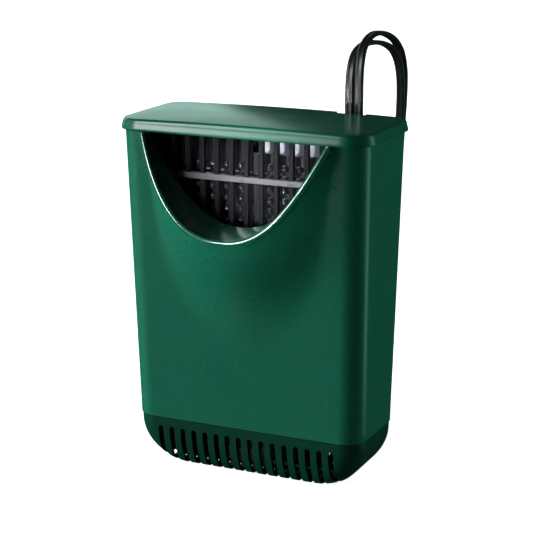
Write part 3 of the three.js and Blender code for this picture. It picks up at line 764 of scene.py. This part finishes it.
# ---------------------------------------------------------------- intake foot
def cap_ring(z, wall=0.0, height=None):
    """The foot's outline at a level, drawn in towards the floor; height puts it at another level."""
    down = max(0.0, 1 - z / CREASE_Z) ** CAP["power"]
    lift = max(0.0, CAP["round"] - z)
    rounding = CAP["round"] - math.sqrt(max(0.0, CAP["round"] ** 2 - lift ** 2)) + CAP["step"] + wall
    return outline(
        CREASE["half"] - CAP["side"] * down - rounding, CREASE["front"] - CAP["face"] * down - rounding,
        CREASE["rear"] - CAP["face"] * down - rounding, CORNER_FRONT - wall, CORNER_REAR - wall,
        z if height is None else height, steps=12, face=40, side=8)


def slot_cutter(x, y0, y1):
    radius = SLOT["width"] / 2
    ring = [(x - radius, -2.0), (x + radius, -2.0)]
    for i in range(13):
        turn = math.pi * i / 12
        ring.append((x + radius * math.cos(turn), SLOT["top"] - radius + radius * math.sin(turn)))
    return loft("slot", [[(px, y, pz) for px, pz in ring] for y in (y0, y1)], None)


def intake_foot():
    levels = [0, 0.12, 0.45, 1.0, 1.8, 2.6, CAP["round"]]
    levels += [mix(CAP["round"], CREASE_Z - 0.3, i / 16) for i in range(1, 17)]
    outer = loft("intake_foot", [cap_ring(z) for z in levels] + [cap_ring(CREASE_Z - 0.05, 0.25)], smooth=30)
    hollow = [CAP["floor"], 2.6, 3.6, 5] + [mix(5, CREASE_Z, i / 10) for i in range(1, 11)]
    inner = loft("hollow", [cap_ring(z, WALL) for z in hollow] + [cap_ring(CREASE_Z, WALL, 30)], None)
    cutters = [inner]
    for i in range(SLOT["count"]):
        x = (i - (SLOT["count"] - 1) / 2) * SLOT["pitch"]
        cutters.append(slot_cutter(x, -40, SLOT["front_end"]))
        if x > SLOT["rear_from"]:
            cutters.append(slot_cutter(x, SLOT["rear_start"], 40))
    boolean(outer, cutters, smooth=30)
    bevel(outer, 0.35, 2, 40)
    paint(outer, GREEN_CAP)
    collar = loft("foot_collar", [shell_ring(z, WALL + 0.4) for z in (24.5, 33)], smooth=30)
    boolean(collar, [loft("bore", [shell_ring(z, WALL + 2) for z in (20, 36)], None)], smooth=30)
    paint(collar, GREEN_CAP)
    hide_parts("intake_cap")


def shell_ring(z, inset):
    return outline(side_at(z) - inset, front_at(z) - inset, rear_at(z) - inset,
                   CORNER_FRONT - inset, CORNER_REAR - inset, z)


intake_foot()


# ---------------------------------------------------------------- lid
def lid_ring(inset, z):
    return outline(
        LID["half"] - inset, LID["front"] - inset, LID["rear"] - inset, max(1.0, LID_CORNER_FRONT - inset),
        max(1.0, LID_CORNER_REAR - inset), z, steps=14, face=40, side=10)


def crown(x):
    return LID_EDGE + LID_CROWN * (1 - (x / LID["half"]) ** 2)


def split_across(obj, places):
    """Cuts the faces of a mesh along planes of constant x, so that a broad face can follow a curve."""
    bm = bmesh.new()
    bm.from_mesh(obj.data)
    for x in places:
        bmesh.ops.bisect_plane(bm, geom=bm.verts[:] + bm.edges[:] + bm.faces[:], plane_co=(x * MM, 0, 0),
                               plane_no=(1, 0, 0))
    bm.to_mesh(obj.data)
    bm.free()


def cover():
    """The lid: a rim that leans in as it rises, a rounded edge and a top that crowns a little along x."""
    shoulder, lean, rounding = RIM_TOP - 0.1, 0.82, 1.6
    rings = [lid_ring(0.45, RIM_BOTTOM), lid_ring(0.12, RIM_BOTTOM + 0.1), lid_ring(0.0, RIM_BOTTOM + 0.5),
             lid_ring(0.24, RIM_BOTTOM + 1.6), lid_ring(0.55, RIM_BOTTOM + 2.8), lid_ring(lean, shoulder)]
    for i in range(1, 9):
        turn = math.radians(90 * i / 8)
        rings.append(lid_ring(lean + rounding * (1 - math.cos(turn)), lambda x, s=math.sin(turn): mix(
            shoulder, crown(x) - 0.02, s)))
    lid = loft("cover", rings, "lid", smooth=40)
    split_across(lid, [-68 + 4 * i for i in range(35)])
    pocket = loft("pocket", [lid_ring(1.9, 180), lid_ring(1.9, 191.0), lid_ring(2.3, 191.3)], None)
    notch = block("notch", (NOTCH["x0"], NOTCH["x1"]), (NOTCH["y"], 50), (180, 200))
    boolean(lid, [pocket, notch], smooth=40)
    bevel(lid, 0.3, 2, 50)
    paint(lid, GREEN_LID)
    for x in (-64.8, 63):
        tongue = bevel(block("lid_tongue", (x, x + 1.8), (-18, 18), (187.2, 191.5), "lid"), 0.3)
        paint(tongue, GREEN_LID)
    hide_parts("lid")


cover()


# ---------------------------------------------------------------- scrubber insert
BAR_PITCH, BAR_WIDTH, BAR_FRONT, BAR_BACK, BAR_HALF = 8.5, 2.8, -22.8, -20.3, 52.4
INSERT_BOTTOM, INSERT_TOP = 66.4, 186.0
LEDGE_Z, LEDGE_HEIGHT, LEDGE_FRONT, LEDGE_BACK = (164.1, 131.0, 96.0), 3.2, -23.9, -19.6
# The left plate stands taller than the right and covers the left floss with dark plate: painted shade for the
# shadow that the left wall and lid cast into the left chamber.
PLATE = {"middle": 3.0, "gap": 2.5, "half": 60.5, "front": -15.8, "back": -13.8,
         "left": 185.6, "right": 177.5}
STUD_ACROSS, STUD_DOWN, STUD_TOP, STUD_TIP = 8.2, 5.85, 170.2, -19.2


def scrubber_grid():
    parts = []
    for i in range(-6, 7):
        x = i * BAR_PITCH
        bar = block("grid_bar", (x - BAR_WIDTH / 2, x + BAR_WIDTH / 2), (BAR_FRONT, BAR_BACK),
                    (INSERT_BOTTOM + 1, INSERT_TOP), "scrubber")
        parts.append(bevel(bar, 0.45, 3))
    for z in LEDGE_Z:
        ledge = block("grid_ledge", (-BAR_HALF, BAR_HALF), (LEDGE_FRONT, LEDGE_BACK),
                      (z - LEDGE_HEIGHT / 2, z + LEDGE_HEIGHT / 2), "scrubber")
        parts.append(bevel(ledge, 0.4, 3))
    foot = block("grid_foot", (-BAR_HALF, BAR_HALF), (BAR_FRONT + 0.4, LEDGE_BACK),
                 (INSERT_BOTTOM, 70), "scrubber")
    parts.append(bevel(foot, 0.4, 2))
    for part in parts:
        # The ledges get the light grey, a painted highlight on their tops; the bars keep the black grid
        # plastic.
        paint(part, LEDGE_PAINTED_LIGHT if part.name.startswith("grid_ledge") else GRID)
    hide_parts("scrubber_frame")


def stud_field(side, name):
    """The rows of round-nosed studs of one plate as a single mesh."""
    columns, rows = 6, 17
    bm = bmesh.new()
    for column in range(1, columns + 1):
        for row in range(rows):
            add_stud(bm, PLATE["middle"] + side * column * STUD_ACROSS, STUD_TOP - row * STUD_DOWN)
    mesh = bpy.data.meshes.new(name)
    bm.to_mesh(mesh)
    bm.free()
    obj = bpy.data.objects.new(name, mesh)
    bpy.context.collection.objects.link(obj)
    soften(obj, 50)
    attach(obj, "scrubber")
    return paint(obj, STUD)


def add_stud(bm, x, z):
    """A short round peg with a domed end, standing forward of the plate."""
    radius, sides = 1.75, 20
    shoulder = STUD_TIP + radius
    profile = [(radius + 0.35, PLATE["front"] + 0.5), (radius, PLATE["front"] - 0.1), (radius, shoulder)]
    for i in range(1, 6):
        turn = math.radians(90 * i / 6)
        profile.append((radius * math.cos(turn), shoulder - radius * math.sin(turn)))
    rings = []
    for r, y in profile:
        rings.append([bm.verts.new((
            (x + r * math.cos(2 * math.pi * k / sides)) * MM, y * MM,
            (z + r * math.sin(2 * math.pi * k / sides)) * MM)) for k in range(sides)])
    for low, high in zip(rings, rings[1:]):
        for k in range(sides):
            j = (k + 1) % sides
            bm.faces.new((low[k], low[j], high[j], high[k]))
    bm.faces.new(rings[-1])
    bm.faces.new(rings[0][::-1])
    bmesh.ops.recalc_face_normals(bm, faces=bm.faces)


def stud_plates():
    for side, word in ((-1, "left"), (1, "right")):
        x0, x1 = sorted((PLATE["middle"] + side * PLATE["gap"], side * PLATE["half"]))
        # PLATE[word] is taller on the left: a dark sheet over the left floss, standing in for the shade
        # there.
        plate = block(f"stud_plate_{word}", (x0, x1), (PLATE["front"], PLATE["back"]),
                      (INSERT_BOTTOM, PLATE[word]), "scrubber")
        bevel(plate, 0.35, 2)
        paint(plate, STUD)
        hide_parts(f"scrubber_plate_{word}")
        stud_field(side, f"studs_{word}")
    post = block("plate_post", (PLATE["middle"] - 2, PLATE["middle"] + 2), (-18, -13.4),
                 (INSERT_BOTTOM, 178), "scrubber")
    paint(bevel(post, 0.6, 3), STUD)
    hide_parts("scrubber_post")


scrubber_grid()
stud_plates()


# ---------------------------------------------------------------- cartridges
def floss_sleeve(word):
    """A filled sleeve of floss: flat faces that swell a little between its edges, closed all round by a
    narrow band.
    """
    low, high = (Vector(c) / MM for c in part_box(f"cartridge_{word}_sleeve"))
    columns, rows = 28, 56
    verts, faces = [], []
    for front in (1, 0):
        for r in range(rows + 1):
            for c in range(columns + 1):
                u, v = c / columns, r / rows
                edge = min(u, 1 - u, v, (1 - v) * 1.5) * 9
                swelling = 1 - math.exp(-edge * 2.2)
                ripple = 0.25 * math.sin(23 * u + 5 * v) * math.sin(31 * v + 3 * u)
                depth = (high.y - low.y) / 2 * (0.62 + 0.36 * swelling + 0.05 * ripple)
                middle = (high.y + low.y) / 2
                y = middle - depth if front else middle + depth
                verts.append((mix(low.x, high.x, u), y, mix(low.z, high.z, v)))
    wide = columns + 1
    size = wide * (rows + 1)
    for r in range(rows):
        for c in range(columns):
            a = r * wide + c
            faces.append((a, a + 1, a + wide + 1, a + wide))
            faces.append((size + a, size + a + wide, size + a + wide + 1, size + a + 1))
    rim = list(range(columns)) + [r * wide + columns for r in range(rows)]
    rim += [rows * wide + c for c in range(columns, 0, -1)] + [r * wide for r in range(rows, 0, -1)]
    for a, b in zip(rim, rim[1:] + rim[:1]):
        faces.append((a, size + a, size + b, b))
    sleeve = piece(f"floss_{word}", verts, faces, f"cartridge_{word}", smooth=60)
    paint(sleeve, FLOSS)
    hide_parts(f"cartridge_{word}_sleeve")


for word in ("left", "right"):
    floss_sleeve(word)


# ---------------------------------------------------------------- suction cups
def suction_cup(index, x, z):
    wall = rear_at(z)
    neck = [(0, wall + 0.6), (2.5, wall + 0.6), (2.5, 35.7), (4.6, 35.75), (5.6, 35.9)]
    bell = [(8, 36.5), (11, 37.5), (14, 38.4), (15.6, 38.8), (16.0, 39.3), (15.9, 39.95)]
    hollow = [(14.5, 39.75), (9, 38.9), (4, 38.6), (0, 38.55)]
    cup = turned(f"cup_{index}", neck + bell + hollow, "y", (x, 0, z), 64, smooth=50)
    paint(cup, CUP)
    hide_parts(f"suction_cup_{index}")


for row, z in enumerate(CUP_Z):
    for side, x in enumerate(CUP_X):
        suction_cup(2 * row + side + 1, x, z)


# ---------------------------------------------------------------- CAD nodes that stay
KEPT = {
    "cartridge_rail": BLACK, "cartridge_left_frame": BLACK, "cartridge_right_frame": BLACK,
    "cartridge_left_carbon": CARBON, "cartridge_right_carbon": CARBON, "motor_case": PUMP,
    "motor_cover": PUMP, "stator_core": STEEL, "stator_winding": COPPER, "rotor_magnet": FERRITE,
    "impeller": PUMP, "rotor_shaft": CERAMIC, "bush_front": RUBBER, "bush_rear": RUBBER,
    "volute": PUMP, "volute_cover": PUMP,
    "pump_pad_left": RUBBER, "pump_pad_right": RUBBER, "riser_tube": BLACK, "riser_seal": RUBBER,
    "diffuser_cap": BLACK, "intake_comb": GREEN, "pump_gland": RUBBER, "lead_grommet": RUBBER,
    "heater_tube": GLASS, "heater_core": CERAMIC, "heater_cap": BLACK, "heater_gland": RUBBER,
    "heater_bracket": BLACK, "coil_tie": RUBBER, "heater_plug": VINYL, "pump_plug": VINYL,
    "heater_plug_blade_1": BRASS, "heater_plug_blade_2": BRASS, "pump_plug_blade_1": BRASS,
    "pump_plug_blade_2": BRASS,
}


def kept_nodes():
    """CAD pieces whose shape is right get a small edge radius and a finished material."""
    for name, mat in KEPT.items():
        obj = NODES[name]
        for slot in obj.material_slots:
            slot.material = mat
        bevel(obj, 0.25, 2, 40)


kept_nodes()
